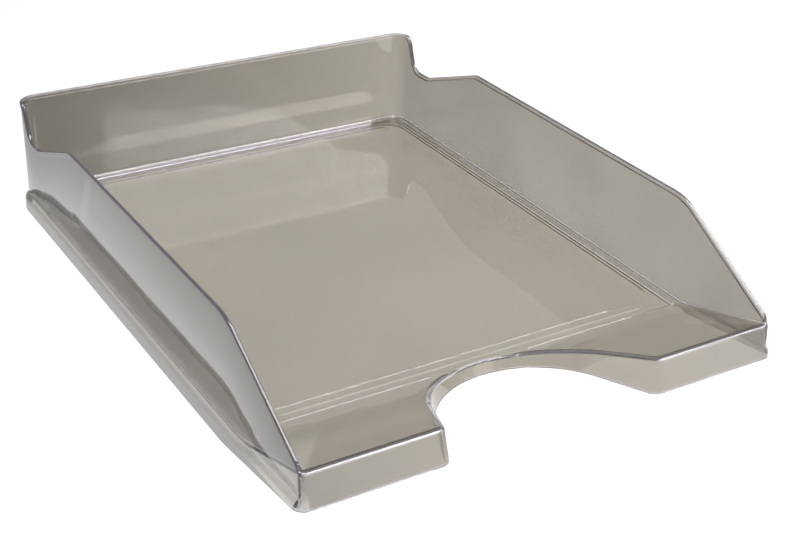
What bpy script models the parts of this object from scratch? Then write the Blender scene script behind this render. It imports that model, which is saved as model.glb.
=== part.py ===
"""Letter tray: one injection-moulded shell, open at the front with a finger notch.

The shell is a wall of nearly constant thickness swept round the plan outline, with a floor
and a front ramp spanning it. Only the right half is built; a Mirror modifier makes the left.
Units are metres, X is across the tray, +Y points to the back, +Z is up, and the origin is
on the table under the centre of the tray.
"""
from math import asin, atan2, cos, hypot, pi, radians, sin, tan

import bmesh
import bpy
from mathutils import Vector
from mathutils.geometry import delaunay_2d_cdt

# Overall size
WIDTH = 0.255
DEPTH = 0.346
HEIGHT = 0.065
HALF_WIDTH = WIDTH / 2
FRONT_Y = -DEPTH / 2
BACK_Y = DEPTH / 2

# Plan outline of the foot skirt
BACK_CORNER_RADIUS = 0.012
FRONT_CORNER_RADIUS = 0.0062
NOTCH_RADIUS = 0.0472
NOTCH_BACK_Y = -0.1143
NOTCH_CENTRE_Y = NOTCH_BACK_Y - NOTCH_RADIUS
NOTCH_FLARE = radians(21.5)
NOTCH_CORNER_RADIUS = 0.0066

# Wall section, as distances in from the plan outline
SKIRT_THICKNESS = 0.0016
STEP = 0.0026
WALL_FOOT_IN = 0.0046
WALL_TOP_OUT = 0.0019
WALL_TOP_IN = 0.0038
FRONT_DRAFT = 0.0028
FRONT_TOP_IN = 0.0047
RIM_ROUND = 0.0007
FOOT_FILLET = 0.0012
UNDER_IN = 0.0044
NOTCH_UNDER_IN = 0.0040
SHOULDER_Z = 0.007

# Heights
LEDGE_Z = 0.0095
PANEL_DROP = 0.002
FLOOR_THICKNESS = 0.002
LIP_Z = 0.026
BEAD = 0.0006
FRONT_BOTTOM_Z = 0.009
FRONT_SHOULDER_Z = 0.011
NOTCH_BACK_BOTTOM_Z = 0.004

# Lines across the tray
RAMP_Y = -0.1115
KINK_Y = -0.1005
SHOULDER_RISE_Y = -0.115

# Recessed floor panel: the border runs from the ridge down to the panel
RIDGE_X = 0.1185
RIDGE_BACK_Y = 0.164
BORDER_SIDE = 0.0035
BORDER_FRONT = 0.0141
RIDGE_RADIUS = 0.003
PANEL_RADIUS = 0.013

# Side view of the rim, front to back: (y, z, rounding radius)
RIM_PATH = [
    (FRONT_Y, LIP_Z, 0.0),
    (-0.1678, LIP_Z, 0.0008),
    (-0.1666, 0.0294, 0.004),
    (-0.1027, HEIGHT, 0.030),
    (0.0845, HEIGHT, 0.018),
    (0.1365, 0.0458, 0.012),
    (0.1535, 0.0456, 0.003),
    (0.1608, HEIGHT, 0.0045),
    (BACK_Y, HEIGHT, 0.0),
]

# Facets in the rounded parts
ARC_STEPS = 4
SECTION_STEPS = 3
PLAN_STEP = radians(7.5)
MERGE = 0.000001


def remove_all_objects():
    """Empty the scene."""
    for old in list(bpy.data.objects):
        bpy.data.objects.remove(old, do_unlink=True)


def mix(a, b, t):
    """Linear blend from a to b."""
    return a + (b - a) * t


def clamp(value, low=0.0, high=1.0):
    """Value held between low and high."""
    return max(low, min(high, value))


def rounded_path(corners, steps):
    """Points of an open (y, z) path whose corners are rounded with arcs."""
    points = [corners[0][:2]]
    for before, corner, after in zip(corners, corners[1:], corners[2:]):
        cy, cz, radius = corner
        ay, az = before[0] - cy, before[1] - cz
        by, bz = after[0] - cy, after[1] - cz
        alen, blen = hypot(ay, az), hypot(by, bz)
        ay, az, by, bz = ay / alen, az / alen, by / blen, bz / blen
        turn = pi - abs(atan2(ay * bz - az * by, ay * by + az * bz))
        reach = radius * tan(turn / 2)
        my, mz = ay + by, az + bz
        mlen = hypot(my, mz)
        oy, oz = cy + my / mlen * radius / cos(turn / 2), cz + mz / mlen * radius / cos(turn / 2)
        start = atan2(cz + az * reach - oz, cy + ay * reach - oy)
        end = atan2(cz + bz * reach - oz, cy + by * reach - oy)
        sweep = (end - start + pi) % (2 * pi) - pi
        for i in range(steps + 1):
            angle = start + sweep * i / steps
            points.append((oy + radius * cos(angle), oz + radius * sin(angle)))
    points.append(corners[-1][:2])
    return points


RIM_POINTS = rounded_path(RIM_PATH, ARC_STEPS)


def rim_side_z(y):
    """Height of the side wall's top edge at y."""
    for (y0, z0), (y1, z1) in zip(RIM_POINTS, RIM_POINTS[1:]):
        if y <= y1:
            return mix(z0, z1, clamp((y - y0) / (y1 - y0)))
    return HEIGHT


RAMP_FOOT_Y = FRONT_Y + FRONT_TOP_IN + FOOT_FILLET
RAMP_SLOPE = (LIP_Z - BEAD - LEDGE_Z) / (RAMP_Y - RAMP_FOOT_Y)


def floor_z(y):
    """Height of the floor's top at the walls and round the notch."""
    if y <= RAMP_Y:
        return LEDGE_Z + RAMP_SLOPE * (RAMP_Y - y)
    return LEDGE_Z


def notch_floor_z(y):
    """Height of the floor's top on the centre strip between the ramp and the panel."""
    if y <= RAMP_Y:
        return floor_z(y)
    return LEDGE_Z - PANEL_DROP * (y - RAMP_Y) / BORDER_FRONT


def outline():
    """Stations of the right half of the plan, from the notch's back round to the back wall.

    Each is (x, y, nx, ny, stepped, in_notch): a point of the skirt's foot, the direction into
    the material, how much of the stepped wall section it has, and whether it is on the notch.
    """
    stations = []
    foot_radius = NOTCH_RADIUS + FRONT_TOP_IN + FOOT_FILLET
    under_radius = NOTCH_RADIUS + NOTCH_UNDER_IN
    angles = [asin((RAMP_Y - NOTCH_CENTRE_Y) / radius) for radius in (foot_radius, under_radius)]
    count = round((pi / 2 - NOTCH_FLARE) / PLAN_STEP)
    angles += [mix(pi / 2, NOTCH_FLARE, i / count) for i in range(count + 1)]
    for angle in sorted(angles, reverse=True):
        dx, dy = cos(angle), sin(angle)
        x = NOTCH_RADIUS * dx if angle < pi / 2 else 0.0
        stations.append((x, NOTCH_CENTRE_Y + NOTCH_RADIUS * dy, dx if x else 0.0, dy, 0.0, True))

    last_x, last_y = stations[-1][:2]
    centre_y = FRONT_Y + NOTCH_CORNER_RADIUS
    corner_start_y = centre_y - NOTCH_CORNER_RADIUS * sin(NOTCH_FLARE)
    corner_start_x = last_x + (last_y - corner_start_y) * tan(NOTCH_FLARE)
    centre_x = corner_start_x + NOTCH_CORNER_RADIUS * cos(NOTCH_FLARE)
    middle = (mix(last_x, corner_start_x, 0.5), mix(last_y, corner_start_y, 0.5))
    stations.append((*middle, cos(NOTCH_FLARE), sin(NOTCH_FLARE), 0.0, True))
    count = round((pi / 2 - NOTCH_FLARE) / (2 * PLAN_STEP))
    for i in range(count + 1):
        angle = mix(NOTCH_FLARE, pi / 2, i / count)
        dx, dy = cos(angle), sin(angle)
        x, y = centre_x - NOTCH_CORNER_RADIUS * dx, centre_y - NOTCH_CORNER_RADIUS * dy
        stations.append((x, y, dx, dy, 0.0, True))

    centre_x, centre_y = HALF_WIDTH - FRONT_CORNER_RADIUS, FRONT_Y + FRONT_CORNER_RADIUS
    count = round(pi / 2 / PLAN_STEP)
    for i in range(count + 1):
        angle = pi / 2 * i / count
        dx, dy = sin(angle), -cos(angle)
        x, y = centre_x + FRONT_CORNER_RADIUS * dx, centre_y + FRONT_CORNER_RADIUS * dy
        stations.append((x, y, -dx, -dy, i / count, False))

    side_start, side_end = FRONT_Y + FRONT_CORNER_RADIUS, BACK_Y - BACK_CORNER_RADIUS
    stops = {RAMP_Y, KINK_Y, SHOULDER_RISE_Y, side_end}
    stops.update(y for y, z in RIM_POINTS if side_start + MERGE < y < side_end - MERGE)
    for y in sorted(stops):
        stations.append((HALF_WIDTH, y, -1.0, 0.0, 1.0, False))

    centre_x, centre_y = HALF_WIDTH - BACK_CORNER_RADIUS, side_end
    for i in range(1, count + 1):
        angle = pi / 2 * i / count
        dx, dy = cos(angle), sin(angle)
        x, y = centre_x + BACK_CORNER_RADIUS * dx, centre_y + BACK_CORNER_RADIUS * dy
        stations.append((x, y, -dx, -dy, 1.0, False))
    stations.append((0.0, BACK_Y, 0.0, -1.0, 1.0, False))
    return stations


def arc(centre, radii, start, end, steps):
    """Points of an elliptical arc in the section plane, both ends included."""
    angles = [mix(start, end, i / steps) for i in range(steps + 1)]
    return [(centre[0] + radii[0] * cos(a), centre[1] + radii[1] * sin(a)) for a in angles]


def rim_and_foot(top_out, top_in, foot_in, rim_z, foot_z):
    """Section over the rim and down the inner face to the floor."""
    height = rim_z - foot_z
    drop = min(RIM_ROUND, 0.4 * height)
    rise = min(FOOT_FILLET, 0.4 * height)
    outer = arc((top_out + RIM_ROUND, rim_z - RIM_ROUND), (RIM_ROUND, RIM_ROUND),
                pi, pi / 2, SECTION_STEPS)
    inner = arc((top_in - RIM_ROUND, rim_z - drop), (RIM_ROUND, drop),
                pi / 2, 0.0, SECTION_STEPS)
    fillet = arc((foot_in + FOOT_FILLET, foot_z + rise), (FOOT_FILLET, rise),
                 pi, 1.5 * pi, SECTION_STEPS)
    return outer + inner + fillet


def stepped_section(bottom_z, shoulder_z, rim_z, foot_z, under_z):
    """Side and back wall: a skirt that steps in to the wall at the floor's level."""
    step_z = shoulder_z + STEP
    lean = clamp((rim_z - step_z) / (HEIGHT - step_z))
    top_out = mix(STEP, WALL_TOP_OUT, lean)
    top_in = mix(WALL_FOOT_IN, WALL_TOP_IN, lean)
    rise = clamp((under_z - LEDGE_Z + FLOOR_THICKNESS) / STEP)
    knee = (mix(0.0032, UNDER_IN, rise), mix(LEDGE_Z - FLOOR_THICKNESS - 0.0001, step_z - 0.0015, rise))
    inside = [(UNDER_IN, under_z), knee, (SKIRT_THICKNESS, shoulder_z - 0.0008),
              (SKIRT_THICKNESS, bottom_z)]
    outside = [(0.0, bottom_z)] + arc((STEP, shoulder_z), (STEP, STEP), pi, pi / 2, SECTION_STEPS)
    return inside + outside + rim_and_foot(top_out, top_in, WALL_FOOT_IN, rim_z, foot_z)


def plain_section(bottom_z, rim_z, foot_z, under_z):
    """Front and notch wall: one leaning face with no step."""
    face = [(SKIRT_THICKNESS, bottom_z), (NOTCH_UNDER_IN, under_z)]
    inside = [(mix(face[1][0], face[0][0], t), mix(face[1][1], face[0][1], t))
              for t in (0.0, 0.4, 0.8, 1.0)]
    top = rim_z - RIM_ROUND
    outside = [(FRONT_DRAFT * t, mix(bottom_z, top, t))
               for t in [0.0] + [mix(0.2, 0.6, i / SECTION_STEPS) for i in range(SECTION_STEPS + 1)]]
    return inside + outside + rim_and_foot(FRONT_DRAFT, FRONT_TOP_IN, FRONT_TOP_IN, rim_z, foot_z)


def section(station):
    """Points (x, y, z) of the wall section at a station, from underneath to the floor's top."""
    x, y, nx, ny, stepped, in_notch = station
    forward = clamp((KINK_Y - y) / (KINK_Y - FRONT_Y))
    bottom_z = FRONT_BOTTOM_Z * forward
    height_at = notch_floor_z if in_notch else floor_z
    if in_notch:
        bottom_z = mix(NOTCH_BACK_BOTTOM_Z, FRONT_BOTTOM_Z, (NOTCH_BACK_Y - y) / (NOTCH_BACK_Y - FRONT_Y))
    foot_in = mix(FRONT_TOP_IN, WALL_FOOT_IN, stepped) + FOOT_FILLET
    under_in = mix(NOTCH_UNDER_IN, UNDER_IN, stepped)
    foot_z = height_at(y + ny * foot_in)
    under_z = height_at(y + ny * under_in) - FLOOR_THICKNESS
    rim_z = foot_z + BEAD if in_notch else max(rim_side_z(y), foot_z + BEAD)
    rise = clamp((SHOULDER_RISE_Y - y) / (SHOULDER_RISE_Y - FRONT_Y))
    shoulder_z = mix(SHOULDER_Z, FRONT_SHOULDER_Z, rise)
    full = stepped_section(bottom_z, shoulder_z, rim_z, foot_z, under_z)
    plain = plain_section(bottom_z, rim_z, foot_z, under_z)
    points = []
    for (full_in, full_z), (plain_in, plain_z) in zip(full, plain):
        distance = mix(plain_in, full_in, stepped)
        points.append((x + nx * distance, y + ny * distance, mix(plain_z, full_z, stepped)))
    return points


def border_line(t, z_shift):
    """Half of the rounded rectangle at fraction t of the border, front centre to back centre."""
    side_x = RIDGE_X - BORDER_SIDE * t
    front_y = RAMP_Y + BORDER_FRONT * t
    back_y = RIDGE_BACK_Y - BORDER_SIDE * t
    front_radius = PANEL_RADIUS * t
    back_radius = mix(RIDGE_RADIUS, PANEL_RADIUS, t)
    z = LEDGE_Z - PANEL_DROP * t + z_shift
    points = [(0.0, front_y, z)]
    for centre_y, radius, start in ((front_y + front_radius, front_radius, -pi / 2),
                                    (back_y - back_radius, back_radius, 0.0)):
        steps = ARC_STEPS if radius else 0
        for i in range(steps + 1):
            angle = start + (pi / 2) * (i / steps if steps else 0.0)
            points.append((side_x - radius + radius * cos(angle), centre_y + radius * sin(angle), z))
    return points + [(0.0, back_y, z)]


def is_inside(point, loop):
    """Whether a plan point lies within a closed loop of plan points."""
    inside = False
    for a, b in zip(loop, loop[1:] + loop[:1]):
        if (a.y > point.y) != (b.y > point.y):
            if point.x < a.x + (b.x - a.x) * (point.y - a.y) / (b.y - a.y):
                inside = not inside
    return inside


def fill_floor(bm, rim_verts, z_shift, faces_up):
    """Span the loop of wall vertices with the floor, ramp and recessed panel."""
    lines = [border_line(t, z_shift) for t in (0.5, 1.0)]
    ridge = border_line(0.0, z_shift)
    on_ramp_line = [v.co[:] for v in rim_verts if abs(v.co.y - RAMP_Y) < MERGE]
    ridge[0] = min(on_ramp_line)
    lines += [ridge, [ridge[1], max(on_ramp_line)]]
    coords = [v.co.xy for v in rim_verts]
    edges = [(i, i + 1) for i in range(len(coords) - 1)]
    loop = [point.copy() for point in coords]
    heights = {}
    for line in lines:
        first = len(coords)
        for i, (x, y, z) in enumerate(line):
            coords.append((x, y))
            heights[first + i] = z
        edges += [(first + i, first + i + 1) for i in range(len(line) - 1)]
    flat, _, triangles, sources, _, _ = delaunay_2d_cdt(coords, edges, [], 0, MERGE, True)
    verts = []
    for point, source in zip(flat, sources):
        on_wall = [i for i in source if i < len(rim_verts)]
        if on_wall:
            verts.append(rim_verts[on_wall[0]])
        else:
            verts.append(bm.verts.new((point.x, point.y, heights[source[0]])))
    for triangle in triangles:
        if not is_inside(sum((flat[i] for i in triangle), Vector((0.0, 0.0))) / 3, loop):
            continue
        order = triangle if faces_up else reversed(triangle)
        bm.faces.new([verts[i] for i in order])


def tray_mesh():
    """Right half of the tray as one open mesh that meets the plane x = 0."""
    bm = bmesh.new()
    columns = [[bm.verts.new(p) for p in section(s)] for s in outline()]
    for left, right in zip(columns, columns[1:]):
        for i in range(len(left) - 1):
            bm.faces.new((left[i], right[i], right[i + 1], left[i + 1]))
    fill_floor(bm, [column[-1] for column in columns], 0.0, True)
    fill_floor(bm, [column[0] for column in columns], -FLOOR_THICKNESS, False)
    mesh = bpy.data.meshes.new("tray_moulding")
    bm.to_mesh(mesh)
    bm.free()
    return mesh


def smoky_plastic():
    """Clear grey-brown polystyrene."""
    material = bpy.data.materials.new("smoky_polystyrene")
    material.use_nodes = True
    shader = material.node_tree.nodes["Principled BSDF"]
    shader.inputs["Base Color"].default_value = (0.42, 0.38, 0.33, 1.0)
    shader.inputs["Roughness"].default_value = 0.06
    shader.inputs["Metallic"].default_value = 0.0
    shader.inputs["IOR"].default_value = 1.59
    shader.inputs["Transmission Weight"].default_value = 0.9
    return material


def build_tray():
    """The tray as one named object."""
    mesh = tray_mesh()
    mesh.materials.append(smoky_plastic())
    tray = bpy.data.objects.new("tray_moulding", mesh)
    bpy.context.scene.collection.objects.link(tray)
    mirror = tray.modifiers.new("left_half", "MIRROR")
    mirror.use_axis = (True, False, False)
    mirror.merge_threshold = MERGE
    mesh.shade_smooth()
    mesh.set_sharp_from_angle(angle=radians(35))


remove_all_objects()
build_tray()
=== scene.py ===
"""Letter tray: the finished moulding, its clear smoky plastic, a pale floor and soft light."""
from math import atan2, cos, hypot, pi, radians, sin, tan

import bmesh
import bpy
from mathutils import Matrix, Vector
from mathutils.geometry import delaunay_2d_cdt


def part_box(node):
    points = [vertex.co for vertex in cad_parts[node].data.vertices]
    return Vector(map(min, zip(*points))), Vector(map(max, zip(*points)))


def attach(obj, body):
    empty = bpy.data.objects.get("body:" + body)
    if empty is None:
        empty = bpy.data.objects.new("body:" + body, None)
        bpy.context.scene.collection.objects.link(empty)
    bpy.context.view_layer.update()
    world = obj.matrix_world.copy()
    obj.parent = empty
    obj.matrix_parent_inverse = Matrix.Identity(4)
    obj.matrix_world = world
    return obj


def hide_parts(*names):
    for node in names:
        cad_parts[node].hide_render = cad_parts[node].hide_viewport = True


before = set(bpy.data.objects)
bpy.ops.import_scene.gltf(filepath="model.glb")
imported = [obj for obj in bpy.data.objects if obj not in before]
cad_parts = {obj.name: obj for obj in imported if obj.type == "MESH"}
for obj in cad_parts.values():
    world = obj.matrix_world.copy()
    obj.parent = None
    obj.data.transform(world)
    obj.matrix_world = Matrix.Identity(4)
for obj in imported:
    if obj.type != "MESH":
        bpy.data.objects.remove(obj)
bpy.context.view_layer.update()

NODE_LOW, NODE_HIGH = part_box("tray_moulding")
FRONT_Y = NODE_LOW[1]
BACK_Y = NODE_HIGH[1]
HALF_WIDTH = NODE_HIGH[0]
HEIGHT = NODE_HIGH[2]

# Plan outline of the foot skirt, in metres
BACK_CORNER_RADIUS = 0.012
FRONT_CORNER_RADIUS = 0.0062
NOTCH_RADIUS = 0.0472
NOTCH_BACK_Y = -0.1143
NOTCH_CENTRE_Y = NOTCH_BACK_Y - NOTCH_RADIUS
NOTCH_FLARE = radians(21.5)
NOTCH_CORNER_RADIUS = 0.0066

# Wall section, as distances in from the plan outline
SKIRT_THICKNESS = 0.0016
STEP = 0.0026
WALL_FOOT_IN = 0.0046
WALL_TOP_OUT = 0.0019
WALL_TOP_IN = 0.0038
FRONT_DRAFT = 0.0028
FRONT_TOP_IN = 0.0046
LIP_ROUND = 0.0011
RIM_ROUND = 0.0007
FOOT_FILLET = 0.0012
UNDER_IN = 0.0044
NOTCH_UNDER_IN = 0.0042
KNEE_IN = 0.0023
FOOT_BEVEL = 0.0003
SHOULDER_Z = 0.007
# The band along the rim: its height, and how far it stands out from the wall below it
BAND = 0.0020
JOG = 0.00045
# How far from a rounding the extra points sit that keep the flat faces beside it flat
HOLD = 0.00025

# Heights
LEDGE_Z = 0.0095
PANEL_Z = 0.0075
FLOOR_THICKNESS = 0.0014
LIP_Z = 0.026
BEAD = 0.00015
FRONT_BOTTOM_Z = 0.009
FRONT_SHOULDER_Z = 0.011
NOTCH_BACK_BOTTOM_Z = 0.004

# Lines across the tray
RAMP_Y = -0.1115
RAMP_BEND = (-0.126, 0.01335)
KINK_Y = -0.1005
SHOULDER_RISE_Y = -0.115

# Ribs moulded on the floor, each a rounded rectangle: half width, front y, back y,
# corner radius, height of the floor there, height of the rib, and whether it is front only
RIBS = [
    (0.1184, -0.1108, 0.1640, 0.0012, 0.00930, 0.00024, False),
    (0.1169, -0.1051, 0.1626, 0.0070, 0.00868, 0.00008, True),
    (0.1152, -0.0990, 0.1609, 0.0125, 0.00812, 0.00024, True),
]
PANEL_EDGE = (0.1130, -0.0958, 0.1588, 0.0146, PANEL_Z)
RIB_END_X = 0.1015
RIB_HALF = 0.0005
RIB_FADE = 0.005
RIB_STEPS = 4

# Side view of the rim, front to back: (y, z, rounding radius)
RIM_PATH = [
    (FRONT_Y, LIP_Z, 0.0),
    (-0.1678, LIP_Z, 0.0010),
    (-0.1666, 0.0294, 0.005),
    (-0.1027, HEIGHT, 0.030),
    (0.0845, HEIGHT, 0.018),
    (0.1365, 0.0456, 0.012),
    (0.1530, 0.0452, 0.009),
    (0.1600, HEIGHT, 0.0060),
    (BACK_Y, HEIGHT, 0.0),
]

# Where the sides of the ramp carry extra vertices, as distances from the middle
RAMP_COLUMNS = (0.066, 0.092, 0.1205)

ARC_STEPS = 12
SECTION_STEPS = 6
UNDER_POINTS = 17
PLAN_STEP = radians(2.5)
MERGE = 0.000001
# Vertex masks: the lighter tint (painted light), painted highlights on rounded edges, and painted
# highlights on the ribs with painted light under the skirt
LAYERS = ("lit_tint_share", "edge_highlight_share", "rib_and_painted_light_share")

# Tints of the plastic, among them painted shade and painted highlights
# The walls take a darker tint than the floor: painted shade on one plastic; each pair also blends in
# random tone
WALL_TINTS = ((0.297, 0.278, 0.243, 1.0), (0.352, 0.330, 0.291, 1.0))
FLOOR_TINTS = ((0.348, 0.321, 0.273, 1.0), (0.379, 0.349, 0.295, 1.0))
# Back wall darker to the left, lighter to the right: painted shade
BACK_SHADE_TINTS = ((0.166, 0.154, 0.131, 1.0), (0.368, 0.342, 0.292, 1.0))
# Outside of the left wall only: painted shade darker towards the back, a lighter band at the foot
# (painted light) and a darker skirt (painted shade)
LEFT_SHADE_TINTS = ((0.165, 0.156, 0.144, 1.0), (0.29, 0.275, 0.255, 1.0))
LEFT_FOOT_LIGHT_TINT = (0.50, 0.48, 0.45, 1.0)
LEFT_SKIRT_SHADE_TINT = (0.22, 0.21, 0.195, 1.0)
# Near white on the ribs: painted highlights
RIB_HIGHLIGHT_TINT = (1.0, 1.0, 0.98, 1.0)
# Pale lilac on the rounded rims and the foot's bevel: painted highlight and painted refraction colour
EDGE_HIGHLIGHT_TINT = (0.84, 0.82, 0.95, 1.0)
DEPTH_TINT = (0.50, 0.48, 0.62, 1.0)


def mix(a, b, t):
    """Linear blend from a to b."""
    return a + (b - a) * t


def clamp(value, low=0.0, high=1.0):
    """Value held between low and high."""
    return max(low, min(high, value))


def rounded_path(corners, steps):
    """Points of an open (y, z) path whose corners are rounded with arcs."""
    points = [corners[0][:2]]
    for before, corner, after in zip(corners, corners[1:], corners[2:]):
        cy, cz, radius = corner
        ay, az = before[0] - cy, before[1] - cz
        by, bz = after[0] - cy, after[1] - cz
        alen, blen = hypot(ay, az), hypot(by, bz)
        ay, az, by, bz = ay / alen, az / alen, by / blen, bz / blen
        turn = pi - abs(atan2(ay * bz - az * by, ay * by + az * bz))
        reach = radius * tan(turn / 2)
        my, mz = ay + by, az + bz
        mlen = hypot(my, mz)
        oy, oz = cy + my / mlen * radius / cos(turn / 2), cz + mz / mlen * radius / cos(turn / 2)
        start = atan2(cz + az * reach - oz, cy + ay * reach - oy)
        end = atan2(cz + bz * reach - oz, cy + by * reach - oy)
        sweep = (end - start + pi) % (2 * pi) - pi
        for i in range(steps + 1):
            angle = start + sweep * i / steps
            points.append((oy + radius * cos(angle), oz + radius * sin(angle)))
    points.append(corners[-1][:2])
    return points


RIM_POINTS = rounded_path(RIM_PATH, ARC_STEPS)


def rim_side_z(y):
    """Height of the side wall's top edge at y."""
    for (y0, z0), (y1, z1) in zip(RIM_POINTS, RIM_POINTS[1:]):
        if y <= y1:
            return mix(z0, z1, clamp((y - y0) / (y1 - y0)))
    return HEIGHT


RAMP_TOP = (FRONT_Y + FRONT_TOP_IN + FOOT_FILLET, LIP_Z - BEAD)
RAMP_POINTS = rounded_path([(RAMP_TOP[0] - 0.01, mix(RAMP_BEND[1], RAMP_TOP[1], 1.2433), 0),
                            (RAMP_BEND[0], RAMP_BEND[1], 0.12), (RAMP_Y, LEDGE_Z, 0)], 8)


def floor_z(y):
    """Height of the floor's top at the walls and round the notch."""
    if y >= RAMP_Y:
        return LEDGE_Z
    for (y0, z0), (y1, z1) in zip(RAMP_POINTS, RAMP_POINTS[1:]):
        if y <= y1:
            return mix(z0, z1, (y - y0) / (y1 - y0))
    return LEDGE_Z


def outline():
    """Stations of the right half of the plan, from the notch's back round to the back wall.

    Each is (x, y, nx, ny, stepped, in_notch): a point of the skirt's foot, the direction into
    the material, how much of the stepped wall section it has, and whether it is on the notch.
    """
    stations = []
    count = round((pi / 2 - NOTCH_FLARE) / PLAN_STEP)
    for i in range(count + 1):
        angle = mix(pi / 2, NOTCH_FLARE, i / count)
        dx, dy = (cos(angle), sin(angle)) if i else (0.0, 1.0)
        stations.append((NOTCH_RADIUS * dx, NOTCH_CENTRE_Y + NOTCH_RADIUS * dy, dx, dy, 0.0, True))

    last_x, last_y = stations[-1][:2]
    centre_y = FRONT_Y + NOTCH_CORNER_RADIUS
    corner_y = centre_y - NOTCH_CORNER_RADIUS * sin(NOTCH_FLARE)
    corner_x = last_x + (last_y - corner_y) * tan(NOTCH_FLARE)
    centre_x = corner_x + NOTCH_CORNER_RADIUS * cos(NOTCH_FLARE)
    for t in (0.25, 0.5, 0.75):
        stations.append((mix(last_x, corner_x, t), mix(last_y, corner_y, t),
                         cos(NOTCH_FLARE), sin(NOTCH_FLARE), 0.0, True))
    count = round((pi / 2 - NOTCH_FLARE) / (2 * PLAN_STEP))
    for i in range(count + 1):
        angle = mix(NOTCH_FLARE, pi / 2, i / count)
        dx, dy = cos(angle), sin(angle)
        x, y = centre_x - NOTCH_CORNER_RADIUS * dx, centre_y - NOTCH_CORNER_RADIUS * dy
        stations.append((x, y, dx, dy, 0.0, True))

    centre_x, centre_y = HALF_WIDTH - FRONT_CORNER_RADIUS, FRONT_Y + FRONT_CORNER_RADIUS
    count = round(pi / 2 / (2 * PLAN_STEP))
    for i in range(count + 1):
        angle = pi / 2 * i / count
        dx, dy = sin(angle), -cos(angle)
        x, y = centre_x + FRONT_CORNER_RADIUS * dx, centre_y + FRONT_CORNER_RADIUS * dy
        ease = (i / count) ** 2 * (3 - 2 * i / count)
        stations.append((x, y, -dx, -dy, ease, False))

    side_start, side_end = FRONT_Y + FRONT_CORNER_RADIUS, BACK_Y - BACK_CORNER_RADIUS
    stops = {RAMP_Y, KINK_Y, SHOULDER_RISE_Y, side_end}
    stops.update(y for y, z in RIM_POINTS + RAMP_POINTS if side_start + MERGE < y < side_end - MERGE)
    last = side_start
    for y in sorted(stops):
        if y - last > 0.00005:
            stations.append((HALF_WIDTH, y, -1.0, 0.0, 1.0, False))
            last = y

    centre_x, centre_y = HALF_WIDTH - BACK_CORNER_RADIUS, side_end
    for i in range(1, count + 1):
        angle = pi / 2 * i / count
        dx, dy = cos(angle), sin(angle)
        x, y = centre_x + BACK_CORNER_RADIUS * dx, centre_y + BACK_CORNER_RADIUS * dy
        stations.append((x, y, -dx, -dy, 1.0, False))
    stations.append((0.0, BACK_Y, 0.0, -1.0, 1.0, False))
    return stations


def arc(centre, radii, start, end, steps):
    """Points of an elliptical arc in the section plane, both ends included."""
    angles = [mix(start, end, i / steps) for i in range(steps + 1)]
    return [(centre[0] + radii[0] * cos(a), centre[1] + radii[1] * sin(a)) for a in angles]


def between(a, b, distance):
    """Point on the way from a to b, at a distance from a."""
    share = min(distance / max(hypot(b[0] - a[0], b[1] - a[1]), MERGE), 0.45)
    return (mix(a[0], b[0], share), mix(a[1], b[1], share))


def rim_and_foot(top, body, foot_in, rim_z, foot_z, outer_round, banded):
    """Section up the outer face, over the rim and down the inner face to the floor.

    top and body are the (outer, inner) faces of the rim band and of the wall below it.
    """
    height = rim_z - foot_z
    drop = min(RIM_ROUND, 0.3 * height)
    rise = min(FOOT_FILLET, 0.3 * height)
    inner_round = min(RIM_ROUND, (top[1] - top[0] - outer_round) * 0.9)
    outer = arc((top[0] + outer_round, rim_z - outer_round), (outer_round, outer_round),
                pi, pi / 2, SECTION_STEPS)
    inner = arc((top[1] - inner_round, rim_z - drop), (inner_round, drop), pi / 2, 0.0, SECTION_STEPS)
    fillet = arc((foot_in + FOOT_FILLET, foot_z + rise), (FOOT_FILLET, rise),
                 pi, 1.5 * pi, SECTION_STEPS)
    band = min(BAND, 0.45 * height) if banded else 0.3 * height
    slant = JOG * band / BAND if banded else 0.1 * height
    low_out, high_out = (body[0], rim_z - band - slant), (top[0], rim_z - band)
    bead = arc((top[1], rim_z - band - slant), (body[1] - top[1], slant), pi / 2, 0.0, 4)
    up = [between(low_out, (body[0], rim_z - 2 * band - slant), HOLD), low_out, high_out,
          between(high_out, outer[0], HOLD), between(outer[0], high_out, HOLD)]
    down = [between(inner[-1], bead[0], HOLD), between(bead[0], inner[-1], HOLD)] + bead
    down += [between(bead[-1], fillet[0], HOLD), between(fillet[0], bead[-1], HOLD)]
    edge = (foot_in + FOOT_FILLET + HOLD, foot_z)
    return up + outer + inner + down + fillet + [edge]


def stepped_section(bottom_z, shoulder_z, rim_z, foot_z, under_z):
    """Side and back wall: a skirt that steps in to the wall at the floor's level."""
    step_z = shoulder_z + STEP
    lean = clamp((rim_z - step_z) / (HEIGHT - step_z))
    body = (mix(STEP, WALL_TOP_OUT + JOG, lean), mix(WALL_FOOT_IN, WALL_TOP_IN + JOG, lean))
    top = (body[0] - JOG, body[1] - JOG)
    rise = clamp((under_z - LEDGE_Z + FLOOR_THICKNESS) / STEP)
    knee = (mix(KNEE_IN, UNDER_IN, rise), mix(LEDGE_Z - FLOOR_THICKNESS - 0.0001, step_z - 0.0015, rise))
    inside = [(UNDER_IN, under_z), between((UNDER_IN, under_z), knee, HOLD), knee,
              (SKIRT_THICKNESS, shoulder_z + mix(0.0003, -0.0008, rise)),
              (SKIRT_THICKNESS, bottom_z + FOOT_BEVEL + HOLD),
              (SKIRT_THICKNESS, bottom_z + FOOT_BEVEL), (SKIRT_THICKNESS - FOOT_BEVEL, bottom_z)]
    outside = [(FOOT_BEVEL, bottom_z), (0.0, bottom_z + FOOT_BEVEL),
               (0.0, bottom_z + FOOT_BEVEL + HOLD), (0.0, shoulder_z - HOLD)]
    outside += arc((STEP, shoulder_z), (STEP, STEP), pi, pi / 2, SECTION_STEPS)
    outside += [(body[0], step_z + HOLD)]
    return inside + outside + rim_and_foot(top, body, WALL_FOOT_IN, rim_z, foot_z, RIM_ROUND, True)


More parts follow.
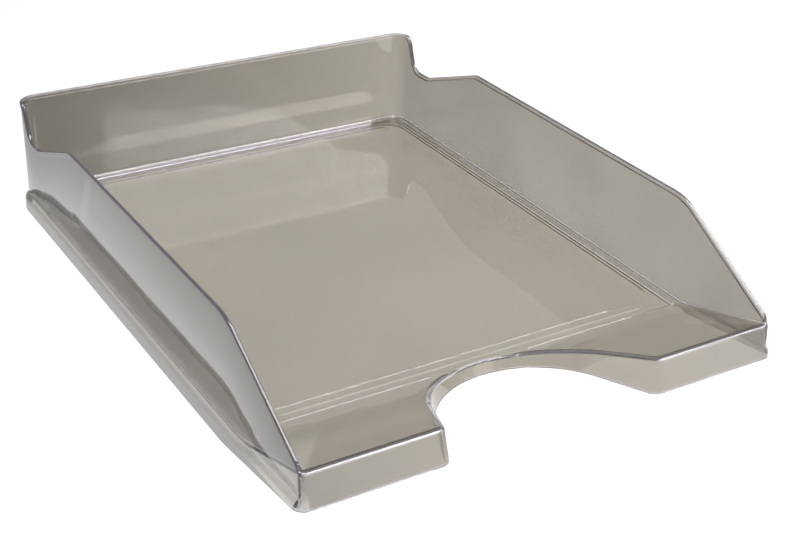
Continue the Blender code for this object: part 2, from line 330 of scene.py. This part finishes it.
def plain_section(bottom_z, rim_z, foot_z, under_z, lip_round):
    """Front and notch wall: one leaning face with no step."""
    low, high = (SKIRT_THICKNESS, bottom_z + FOOT_BEVEL), (NOTCH_UNDER_IN, under_z)
    inside = [(mix(high[0], low[0], t), mix(high[1], low[1], t))
              for t in (0.0, 0.03, 0.4, 0.8, 0.96, 1.0)]
    inside += [(SKIRT_THICKNESS - FOOT_BEVEL, bottom_z)]
    top_z = rim_z - lip_round
    outside = [(FOOT_BEVEL, bottom_z), (0.00005, bottom_z + FOOT_BEVEL)]
    steps = [0.06, 0.1] + [mix(0.2, 0.5, i / SECTION_STEPS) for i in range(SECTION_STEPS + 1)] + [0.55]
    outside += [(FRONT_DRAFT * t, mix(bottom_z, top_z, t)) for t in steps]
    faces = (FRONT_DRAFT, FRONT_TOP_IN)
    rim = rim_and_foot(faces, faces, FRONT_TOP_IN, rim_z, foot_z, lip_round, False)
    for i, t in enumerate((0.6, 0.7, 0.8, 0.9)):
        rim[i] = (FRONT_DRAFT * t, mix(bottom_z, top_z, t))
    rim[4] = between(rim[5], rim[3], HOLD)
    return inside + outside + rim


def section(station):
    """Points (x, y, z) of the wall section at a station, from underneath to the floor's top."""
    x, y, nx, ny, stepped, in_notch = station
    bottom_z = FRONT_BOTTOM_Z * clamp((KINK_Y - y) / (KINK_Y - FRONT_Y))
    if in_notch:
        forward = (NOTCH_BACK_Y - y) / (NOTCH_BACK_Y - FRONT_Y)
        bottom_z = mix(NOTCH_BACK_BOTTOM_Z, FRONT_BOTTOM_Z, forward)
    foot_in = mix(FRONT_TOP_IN, WALL_FOOT_IN, stepped) + FOOT_FILLET
    under_in = mix(NOTCH_UNDER_IN, UNDER_IN, stepped)
    foot_z = floor_z(y + ny * foot_in)
    under_z = floor_z(y + ny * under_in) - FLOOR_THICKNESS
    rim_z = foot_z + BEAD if in_notch else max(rim_side_z(y), foot_z + BEAD)
    rise = clamp((SHOULDER_RISE_Y - y) / (SHOULDER_RISE_Y - FRONT_Y))
    shoulder_z = mix(SHOULDER_Z, FRONT_SHOULDER_Z, rise)
    full = stepped_section(bottom_z, shoulder_z, rim_z, foot_z, under_z)
    lip_round = mix(RIM_ROUND, LIP_ROUND, clamp((y + 0.1655) / -0.005)) if in_notch else LIP_ROUND
    plain = plain_section(bottom_z, rim_z, foot_z, under_z, lip_round)
    points = []
    for (full_in, full_z), (plain_in, plain_z) in zip(full, plain):
        distance = mix(plain_in, full_in, stepped)
        points.append((x + nx * distance, y + ny * distance, mix(plain_z, full_z, stepped)))
    return points


# Radius outside which the floor is clear of the notch, and of a ring of vertices inside it
NOTCH_CLEAR = NOTCH_RADIUS + FRONT_TOP_IN + FOOT_FILLET + HOLD + 0.0006
NOTCH_RING = NOTCH_CLEAR - 0.0003


def past_notch(x, y):
    """How far a floor point is outside the clear line round the notch."""
    return hypot(x, y - NOTCH_CENTRE_Y) - NOTCH_CLEAR


def floor_loop(side_x, front_y, back_y, radius):
    """Right half of a rounded rectangle, clear of the notch: (x, y, outward x, outward y)."""
    spread = [0.002 * i for i in range(16)] + [0.06, 0.0985, 0.1, RIB_END_X]
    points = [(x, front_y, 0.0, -1.0) for x in spread
              if past_notch(x, front_y) > 0.0 and x < side_x - radius - 0.0002]
    for centre_y, start in ((front_y + radius, -pi / 2), (back_y - radius, 0.0)):
        for i in range(ARC_STEPS + 1):
            angle = start + pi / 2 * i / ARC_STEPS
            dx, dy = cos(angle), sin(angle)
            points.append((side_x - radius + radius * dx, centre_y + radius * dy, dx, dy))
    return points + [(0.0, back_y, 0.0, 1.0)]


def rib_and_painted_light_share(x, y, front_y, front_only):
    """How much of its height a rib has at a floor point; the same share sets the rib's painted
    highlight.

    It fades out beside the notch and is low at the back; a front-only rib ends at RIB_END_X.
    """
    share = clamp(past_notch(x, y) / RIB_FADE)
    if front_only:
        return share * clamp((RIB_END_X - x) / 0.0015) * (1.0 if y < front_y + 0.0002 else 0.0)
    return share * mix(1.0, 0.12, clamp((y - 0.150) / 0.010))


def floor_loops(relief):
    """Loops of the recessed floor, outermost first: lists of (x, y, z, rib share for the painted
    highlight, normal).

    relief is 1 on top, where the ribs stand up, and 0 underneath, where they do not show.
    """
    loops = []
    for side_x, front_y, back_y, radius, base_z, rib, front_only in RIBS:
        for i in range(-RIB_STEPS, RIB_STEPS + 1):
            inset = RIB_HALF * i / RIB_STEPS
            bulge = 0.5 + 0.5 * cos(pi * i / RIB_STEPS)
            steep = -0.5 * sin(pi * i / RIB_STEPS) * pi / RIB_HALF
            line = []
            loop = floor_loop(side_x - inset, front_y + inset, back_y - inset, radius + inset)
            for x, y, dx, dy in loop:
                share = rib_and_painted_light_share(x, y, front_y + inset, front_only)
                raised = share * rib * relief
                fall = mix(0.00004, 0.00016, dx * dx)
                slope = raised * steep - fall / RIB_HALF * cos(pi * i / (2 * RIB_STEPS))
                z = base_z - fall * i / RIB_STEPS + raised * bulge
                normal = Vector((dx * slope, dy * slope, 1.0)).normalized()
                line.append((x, y, z, share * bulge, normal))
            loops.append(line)
    flat = Vector((0.0, 0.0, 1.0))
    loops.append([(x, y, PANEL_EDGE[4], 0.0, flat) for x, y, _, _ in floor_loop(*PANEL_EDGE[:4])])
    return loops


def is_inside(point, loop):
    """Whether a plan point lies within a closed loop of plan points."""
    inside = False
    for a, b in zip(loop, loop[1:] + loop[:1]):
        if (a.y > point.y) != (b.y > point.y):
            if point.x < a.x + (b.x - a.x) * (point.y - a.y) / (b.y - a.y):
                inside = not inside
    return inside


def ramp_normal(y):
    """Upward normal of the ledge or the ramp at y."""
    return Vector((0.0, floor_z(y - 0.0002) - floor_z(y + 0.0002), 0.0004)).normalized()


def fill_floor(bm, rim_verts, z_shift, faces_up, normals):
    """Span the loop of wall vertices with the ledge, the ramp and the recessed floor.

    The exact normal of each vertex goes into normals, so long triangles shade evenly.
    """
    side = 1.0 if faces_up else -1.0
    coords = [v.co.xy for v in rim_verts]
    boundary = [point.copy() for point in coords]
    edges = [(i, i + 1) for i in range(len(coords) - 1)]
    lines = floor_loops(1.0 if faces_up else 0.0)
    angles = [radians(angle) for angle in range(90, 40, -2)]
    ring = [(NOTCH_RING * cos(a), NOTCH_CENTRE_Y + NOTCH_RING * sin(a)) for a in angles]
    ring[0] = (0.0, ring[0][1])
    lines.append([(x, y, floor_z(y), 0.0, ramp_normal(y)) for x, y in ring])
    for y, z in RAMP_POINTS:
        lines.append([(x, y, z, 0.0, ramp_normal(y)) for x in RAMP_COLUMNS
                      if is_inside(Vector((x, y)), boundary)])
    known = {}
    # Each rib vertex keeps the strength of its painted highlight
    rib_highlight_layer = bm.verts.layers.float["rib_and_painted_light_share"]
    for line in lines:
        first = len(coords)
        for i, (x, y, z, share, normal) in enumerate(line):
            coords.append(Vector((x, y)))
            known[first + i] = (z + z_shift, share, normal)
        edges += [(first + i, first + i + 1) for i in range(len(line) - 1)]
    flat, _, triangles, sources, _, _ = delaunay_2d_cdt(coords, edges, [], 0, MERGE, True)
    verts = []
    for point, source in zip(flat, sources):
        on_wall = [i for i in source if i < len(rim_verts)]
        if on_wall:
            verts.append(rim_verts[on_wall[0]])
            continue
        crossing = (floor_z(point.y) + z_shift, 0.0, ramp_normal(point.y))
        z, share, normal = known[source[0]] if source else crossing
        vert = bm.verts.new((point.x, point.y, z))
        vert[rib_highlight_layer] = share
        normals[vert] = normal * side
        verts.append(vert)
    for vert in rim_verts:
        normals[vert] = ramp_normal(vert.co.y) * side
    for triangle in triangles:
        if not is_inside(sum((flat[i] for i in triangle), Vector((0.0, 0.0))) / 3, boundary):
            continue
        order = triangle if faces_up else reversed(triangle)
        bm.faces.new([verts[i] for i in order])
    for vert in [v for v in bm.verts if not v.link_faces]:
        normals.pop(vert, None)
        bm.verts.remove(vert)


def mark_regions(bm, columns):
    """Mark the floor, the skirt and the rounded edges of the walls, for the tints that paint light and
    shade on the plastic.
    """
    lit_tint_share = bm.verts.layers.float["lit_tint_share"]
    edge_highlight_share = bm.verts.layers.float["edge_highlight_share"]
    painted_light_layer = bm.verts.layers.float["rib_and_painted_light_share"]
    on_wall = {v for column in columns for v in column}
    for vert in bm.verts:
        vert[lit_tint_share] = 0.0 if vert in on_wall else 1.0
    for column, station in zip(columns, outline()):
        for i, vert in enumerate(column):
            is_under = i < UNDER_POINTS
            # Painted light: the skirt's underside and the notch walls take the floor's lighter tint, and
            # the underside gets half the ribs' near white
            vert[lit_tint_share] = mix(1.0 if station[5] else 0.0, 0.9 if is_under else 0.0, station[4])
            vert[painted_light_layer] = 0.5 * station[4] if is_under else 0.0
        column[0][lit_tint_share] = column[-1][lit_tint_share] = 1.0
        # Painted highlight on the rim's roundings, weaker on the foot's bevel
        rim = len(column) - 3 * (SECTION_STEPS + 1) - 10
        for vert in column[rim + 1:rim + 2 * SECTION_STEPS + 1]:
            vert[edge_highlight_share] = 1.0
        for vert in column[5:9]:
            vert[edge_highlight_share] = 0.6


def add_left_half(bm, normals):
    """Copy every face across the middle plane, sharing the vertices that lie on it."""
    layers = [bm.verts.layers.float[name] for name in LAYERS]
    twins = {}
    for vert in list(bm.verts):
        twins[vert] = vert
        if vert.co.x > MERGE:
            twins[vert] = bm.verts.new((-vert.co.x, vert.co.y, vert.co.z))
            for layer in layers:
                twins[vert][layer] = vert[layer]
            if vert in normals:
                normals[twins[vert]] = normals[vert] * Vector((-1.0, 1.0, 1.0))
    for face in list(bm.faces):
        bm.faces.new([twins[vert] for vert in reversed(face.verts)])


def tray_piece():
    """The whole moulding as one object."""
    bm = bmesh.new()
    for name in LAYERS:
        bm.verts.layers.float.new(name)
    columns = [[bm.verts.new(p) for p in section(s)] for s in outline()]
    for left, right in zip(columns, columns[1:]):
        for i in range(len(left) - 1):
            bm.faces.new((left[i], right[i], right[i + 1], left[i + 1]))
    normals = {}
    fill_floor(bm, [column[-1] for column in columns], 0.0, True, normals)
    fill_floor(bm, [column[0] for column in columns], -FLOOR_THICKNESS, False, normals)
    mark_regions(bm, columns)
    add_left_half(bm, normals)
    mesh = bpy.data.meshes.new("tray")
    still = Vector((0.0, 0.0, 0.0))
    vert_normals = [normals.get(vert, still) for vert in bm.verts]
    bm.to_mesh(mesh)
    bm.free()
    mesh.shade_smooth()
    mesh.normals_split_custom_set_from_vertices(vert_normals)
    tray = bpy.data.objects.new("tray", mesh)
    bpy.context.scene.collection.objects.link(tray)
    # Clear plastic lets the light through to the table, so it darkens the table nowhere
    tray.visible_shadow = False
    tray.visible_diffuse = False
    return tray


def smoky_plastic():
    """Clear grey-brown polystyrene: polished, faintly wavy, with fine dust and rub marks; its tint also
    paints shade and highlights.
    """
    material = bpy.data.materials.new("smoky_polystyrene")
    material.use_nodes = True
    nodes, links = material.node_tree.nodes, material.node_tree.links
    shader = nodes["Principled BSDF"]
    shader.inputs["IOR"].default_value = 1.59
    shader.inputs["Transmission Weight"].default_value = 0.93
    depth = nodes.new("ShaderNodeVolumeAbsorption")
    depth.inputs["Color"].default_value = DEPTH_TINT
    depth.inputs["Density"].default_value = 26.0
    links.new(depth.outputs["Volume"], nodes["Material Output"].inputs["Volume"])
    place = nodes.new("ShaderNodeTexCoord")
    split = nodes.new("ShaderNodeSeparateXYZ")
    links.new(place.outputs["Object"], split.inputs["Vector"])

    def noise(scale, detail, roughness=0.5):
        texture = nodes.new("ShaderNodeTexNoise")
        texture.inputs["Scale"].default_value = scale
        texture.inputs["Detail"].default_value = detail
        texture.inputs["Roughness"].default_value = roughness
        links.new(place.outputs["Object"], texture.inputs["Vector"])
        return texture.outputs["Fac"]

    def ramp(value, start, end, low=0.0, high=1.0):
        ranged = nodes.new("ShaderNodeMapRange")
        for name, number in (("From Min", start), ("From Max", end), ("To Min", low), ("To Max", high)):
            ranged.inputs[name].default_value = number
        links.new(value, ranged.inputs["Value"])
        return ranged.outputs["Result"]

    def spread(value, low=0.0, high=1.0):
        return ramp(value, 0.3, 0.7, low, high)

    def across(axis, start, end):
        return ramp(split.outputs[axis], start, end)

    def blend(factor, first, second):
        mixer = nodes.new("ShaderNodeMix")
        mixer.data_type = "RGBA"
        links.new(factor, mixer.inputs["Factor"])
        for value, socket in ((first, mixer.inputs["A"]), (second, mixer.inputs["B"])):
            if isinstance(value, tuple):
                socket.default_value = value
            else:
                links.new(value, socket)
        return mixer.outputs["Result"]

    def region(name):
        attribute = nodes.new("ShaderNodeAttribute")
        attribute.attribute_name = name
        return attribute.outputs["Fac"]

    wall = blend(spread(noise(14.0, 2.0)), *WALL_TINTS)
    # Back wall: painted shade, darker to the left
    back = blend(across("X", -0.13, 0.12), *BACK_SHADE_TINTS)
    wall = blend(across("Y", 0.162, 0.169), wall, back)
    base = blend(spread(noise(9.0, 3.0)), *FLOOR_TINTS)
    # The floor, the skirt's underside and the notch walls take the lighter tint; the darker walls are
    # painted shade
    body = blend(region("lit_tint_share"), wall, base)
    # Near white on the ribs: painted highlight
    body = blend(region("rib_and_painted_light_share"), body, RIB_HIGHLIGHT_TINT)
    # Outside of the left wall: painted shade towards the back, painted light in a band at the foot,
    # painted shade on the skirt
    left = blend(across("Y", 0.165, 0.05), *LEFT_SHADE_TINTS)
    left = blend(across("Z", 0.018, 0.012), left, LEFT_FOOT_LIGHT_TINT)
    left = blend(across("Z", 0.0085, 0.007), left, LEFT_SKIRT_SHADE_TINT)
    body = blend(across("X", -0.1217, -0.1222), body, left)
    # Pale lilac on rounded edges: painted highlight and painted refraction colour
    tint = blend(region("edge_highlight_share"), body, EDGE_HIGHLIGHT_TINT)
    links.new(tint, shader.inputs["Base Color"])
    links.new(spread(noise(60.0, 4.0, 0.6), 0.03, 0.055), shader.inputs["Roughness"])
    bump = nodes.new("ShaderNodeBump")
    bump.inputs["Strength"].default_value = 0.06
    bump.inputs["Distance"].default_value = 0.002
    links.new(noise(22.0, 1.0), bump.inputs["Height"])
    links.new(bump.outputs["Normal"], shader.inputs["Normal"])
    return material


def pale_floor():
    """A plain white table that carries on out of sight."""
    bpy.ops.mesh.primitive_plane_add(size=12.0, location=(0.0, 0.0, 0.0))
    floor = bpy.context.object
    floor.name = "table"
    material = bpy.data.materials.new("white_table")
    material.use_nodes = True
    shader = material.node_tree.nodes["Principled BSDF"]
    shader.inputs["Base Color"].default_value = (0.80, 0.80, 0.80, 1.0)
    shader.inputs["Roughness"].default_value = 0.9
    shader.inputs["Specular IOR Level"].default_value = 0.1
    floor.data.materials.append(material)


def area_light(name, place, target, size, power):
    """A soft rectangular light."""
    data = bpy.data.lights.new(name, "AREA")
    data.shape = "RECTANGLE"
    data.size, data.size_y = size
    data.energy = power
    light = bpy.data.objects.new(name, data)
    light.location = place
    light.rotation_euler = (Vector(target) - Vector(place)).to_track_quat("-Z", "Y").to_euler()
    bpy.context.scene.collection.objects.link(light)


def studio():
    """Pale surroundings, a large soft light overhead and a small one in front."""
    world = bpy.data.worlds.new("studio")
    bpy.context.scene.world = world
    world.use_nodes = True
    nodes, links = world.node_tree.nodes, world.node_tree.links
    background = nodes["Background"]
    place = nodes.new("ShaderNodeTexCoord")
    split = nodes.new("ShaderNodeSeparateXYZ")
    links.new(place.outputs["Generated"], split.inputs["Vector"])
    ramp = nodes.new("ShaderNodeValToRGB")
    ramp.color_ramp.elements[0].position = 0.5
    ramp.color_ramp.elements[0].color = (0.55, 0.545, 0.54, 1.0)
    ramp.color_ramp.elements[1].position = 0.85
    ramp.color_ramp.elements[1].color = (0.8, 0.8, 0.8, 1.0)
    links.new(split.outputs["Z"], ramp.inputs["Fac"])
    links.new(ramp.outputs["Color"], background.inputs["Color"])
    background.inputs["Strength"].default_value = 0.7
    area_light("overhead", (0.75, -0.25, 1.45), (0.0, 0.0, 0.0), (0.9, 1.5), 34.8)
    area_light("front_card", (0.66, -1.15, 0.73), (0.0, 0.17, 0.03), (0.45, 0.32), 3.8)
    bpy.context.scene.view_settings.view_transform = "Standard"


def camera():
    """The camera, by its place, heading, tilt, roll and focal length."""
    yaw, pitch, roll = radians(31.80), radians(-28.06), radians(1.86)
    forward = Vector((sin(yaw) * cos(pitch), cos(yaw) * cos(pitch), sin(pitch)))
    right = Vector((cos(yaw), -sin(yaw), 0.0))
    up = right.cross(forward)
    turned_right = cos(roll) * right + sin(roll) * up
    turned_up = -sin(roll) * right + cos(roll) * up
    data = bpy.data.cameras.new("camera")
    data.sensor_width = 36.0
    data.lens = 66.36
    data.clip_end = 50.0
    view = bpy.data.objects.new("camera", data)
    turn = Matrix((turned_right, turned_up, -forward)).transposed()
    view.matrix_world = Matrix.Translation((-0.34328, -0.59147, 0.37312)) @ turn.to_4x4()
    bpy.context.scene.collection.objects.link(view)
    bpy.context.scene.camera = view


tray = tray_piece()
tray.data.materials.append(smoky_plastic())
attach(tray, "root")
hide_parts("tray_moulding")
pale_floor()
studio()
camera()
